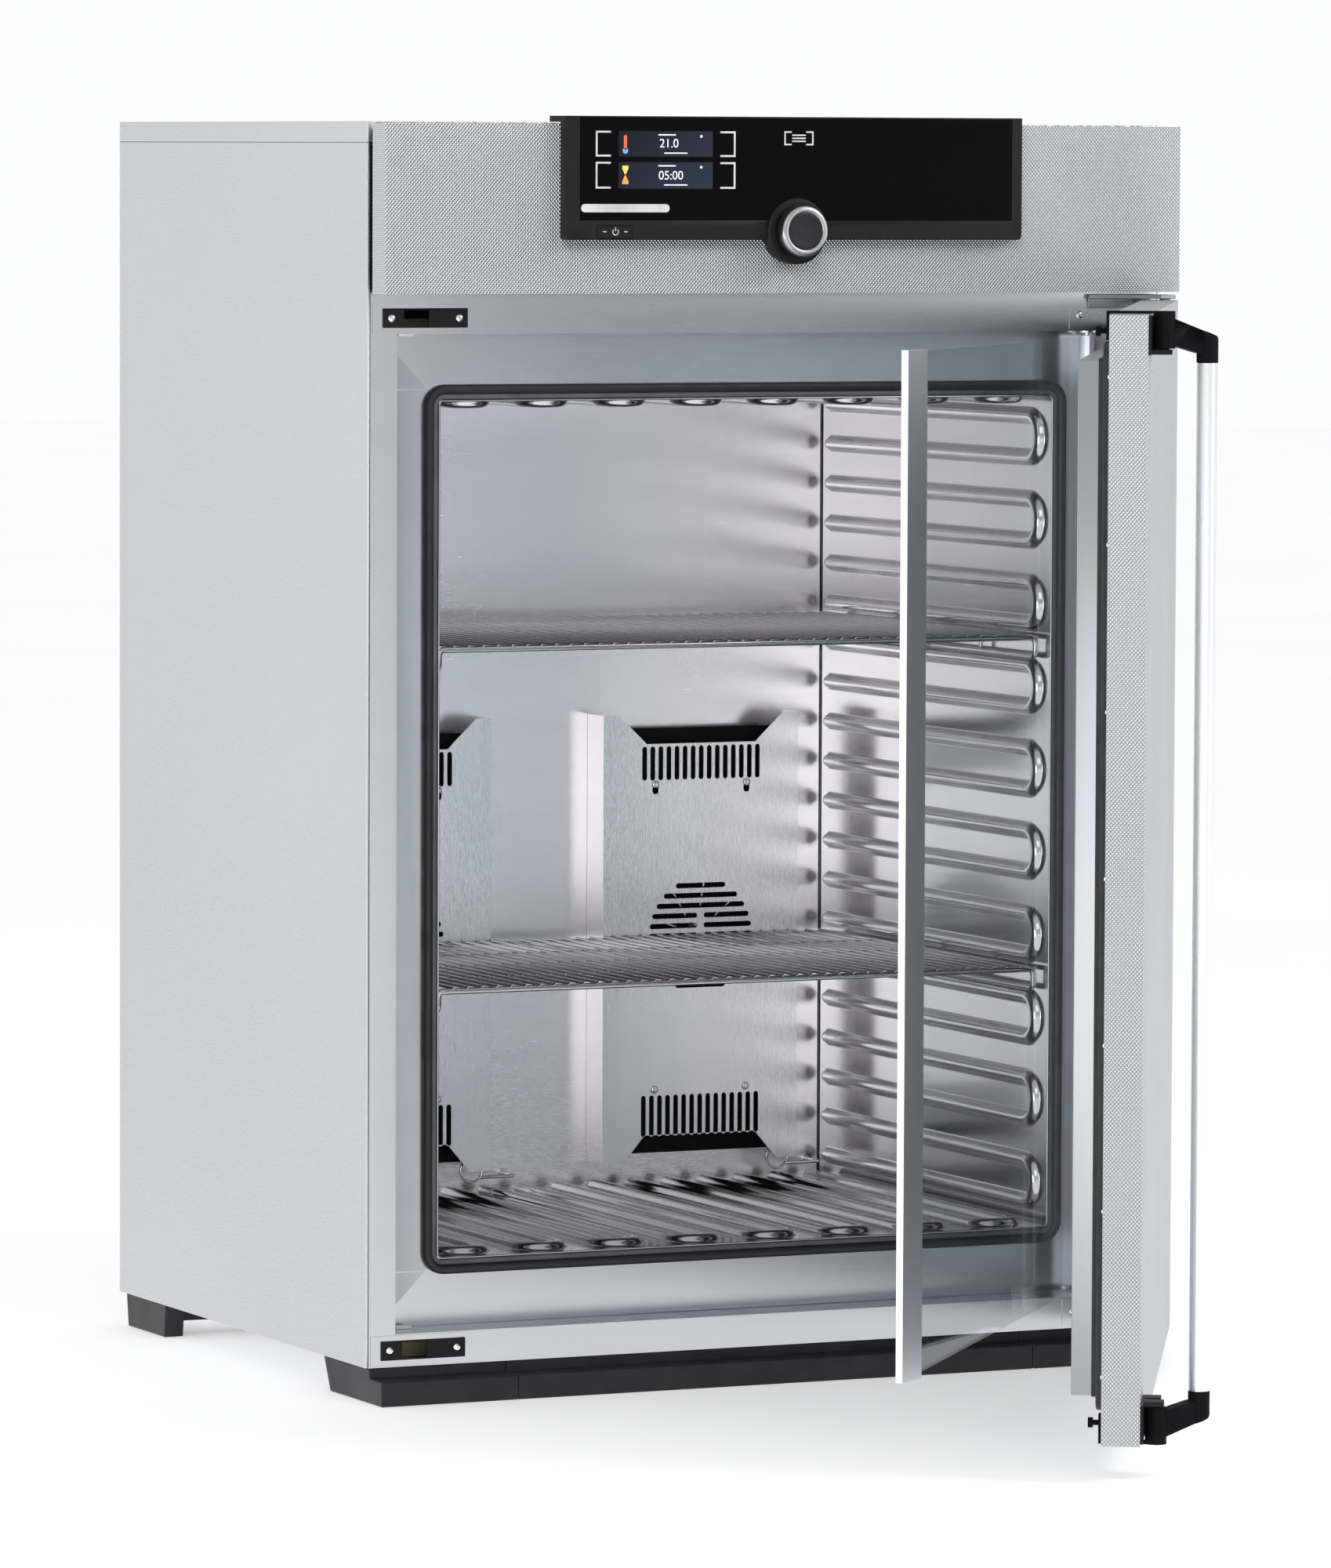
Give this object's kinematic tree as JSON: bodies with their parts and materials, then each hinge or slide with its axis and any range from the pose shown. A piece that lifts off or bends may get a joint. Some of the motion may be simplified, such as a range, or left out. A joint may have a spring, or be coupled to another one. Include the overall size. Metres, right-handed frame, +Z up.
{
  "type": "laboratory incubator",
  "caption": "Free-standing laboratory incubator with an insulated outer door, an inner glass door, wire shelves, fan covers and a glass control panel with a knob.",
  "frame": {"origin": "on the floor, under the middle of the cabinet's footprint without doors and control panel", "axes": "+X to the right seen from the front, +Y to the back, +Z up; the doors are on the -Y side"},
  "size_m": [0.83, 1.3765, 1.192],
  "materials": {
    "black_glass": "glossy",
    "black_plastic": "fine grain",
    "bright_steel": "satin to bright",
    "circuit_board": "solder mask",
    "clear_glass": "clear",
    "embossed_steel": "coarse diamond embossing",
    "grey_seal": "matte silicone",
    "grip_aluminium": "anodised",
    "handle_aluminium": "anodised",
    "heating_foil": "polyimide foil",
    "linen_steel": "fine linen embossing",
    "mineral_wool": "fibrous",
    "motor_housing": "painted",
    "polished_steel": "polished",
    "satin_steel": "smooth satin"
  },
  "bodies": {
    "cabinet": {"casing_left": "linen_steel", "casing_right": "linen_steel", "casing_lid": "linen_steel", "casing_rear": "linen_steel", "casing_floor": "linen_steel", "electronics_deck": "satin_steel", "front_fascia": "embossed_steel", "fascia_spacer": "black_plastic", "front_frame": "satin_steel", "door_recess": "satin_steel", "corner_plates": "satin_steel", "strike_plates": "black_plastic", "corner_screws": "polished_steel", "liner_left": "bright_steel", "liner_right": "bright_steel", "liner_floor": "bright_steel", "liner_ceiling": "bright_steel", "liner_back": "bright_steel", "chamber_gasket": "grey_seal", "insulation_wrap": "mineral_wool", "insulation_rear": "mineral_wool", "heater_mats": "heating_foil", "fan_cover_left": "satin_steel", "fan_cover_right": "satin_steel", "cover_screws": "bright_steel", "fan_motors": "motor_housing", "temperature_probes": "bright_steel", "panel_housing": "black_plastic", "panel_glass": "black_glass", "control_board": "circuit_board", "knob_bezel": "black_plastic", "hinge_brackets": "polished_steel", "glass_pins": "polished_steel", "glass_catches": "polished_steel", "base_frame": "black_plastic", "feet_front": "black_plastic", "feet_rear": "black_plastic", "power_inlet": "black_plastic", "exhaust_port": "satin_steel"},
    "outer_door": {"door_skin": "embossed_steel", "door_insulation": "mineral_wool", "door_block": "satin_steel", "door_seal": "grey_seal", "door_hinge_blocks": "satin_steel", "handle_bearings": "black_plastic"},
    "handle": {"handle_arm_upper": "black_plastic", "handle_arm_lower": "black_plastic", "handle_bar": "handle_aluminium"},
    "glass_door": {"glass_pane": "clear_glass", "glass_grip": "grip_aluminium", "glass_hinge_profile": "grip_aluminium"},
    "upper_shelf": {"shelf_upper": "bright_steel"},
    "lower_shelf": {"shelf_lower": "bright_steel"},
    "knob_plunger": {"knob_shaft": "satin_steel"},
    "knob": {"knob_ring": "polished_steel", "knob_cap": "black_plastic"},
    "power_switch": {"main_switch": "black_plastic"},
    "left_fan": {"fan_rotor_left": "bright_steel"},
    "right_fan": {"fan_rotor_right": "bright_steel"},
    "flap": {"exhaust_flap": "polished_steel"}
  },
  "joints": [
    {"name": "outer_door", "type": "hinge", "parent": "cabinet", "child": "outer_door", "pos_m": [0.4028, -0.3188, 0], "axis": [0, 0, 1], "range_deg": [-60, 60]},
    {"name": "glass_door", "type": "hinge", "parent": "cabinet", "child": "glass_door", "pos_m": [0.353, -0.256, 0], "axis": [0, 0, 1], "range_deg": [-49.5, 49.5]},
    {"name": "handle", "type": "hinge", "parent": "outer_door", "child": "handle", "pos_m": [0.03879, -0.99868, 0], "axis": [0, 0, -1], "range_deg": [-7.5, 0]},
    {"name": "upper_shelf", "type": "slide", "parent": "cabinet", "child": "upper_shelf", "axis": [0, -1, 0], "range_m": [0, 0.052]},
    {"name": "lower_shelf", "type": "slide", "parent": "cabinet", "child": "lower_shelf", "axis": [0, -1, 0], "range_m": [0, 0.052]},
    {"name": "knob_press", "type": "slide", "parent": "cabinet", "child": "knob_plunger", "axis": [0, 1, 0], "range_m": [0, 0.002], "stiffness_N_per_m": 1500},
    {"name": "knob_turn", "type": "hinge", "parent": "knob_plunger", "child": "knob", "pos_m": [0.001, -0.331, 1.086], "axis": [0, 1, 0], "continuous": true},
    {"name": "power_switch", "type": "slide", "parent": "cabinet", "child": "power_switch", "axis": [0, 1, 0], "range_m": [0, 0.002], "stiffness_N_per_m": 800},
    {"name": "left_fan", "type": "hinge", "parent": "cabinet", "child": "left_fan", "pos_m": [-0.1685, -0.331, 0.3765], "axis": [0, 1, 0], "continuous": true},
    {"name": "right_fan", "type": "hinge", "parent": "cabinet", "child": "right_fan", "pos_m": [0.1685, -0.331, 0.3765], "axis": [0, 1, 0], "continuous": true},
    {"name": "exhaust_flap", "type": "hinge", "parent": "cabinet", "child": "flap", "pos_m": [0, 0.319, 1.085], "axis": [0, 0, 1], "range_deg": [0, 90]}
  ],
  "couplings": [
    {"joint": "glass_door", "follows": "outer_door", "ratio": 0.825}
  ]
}
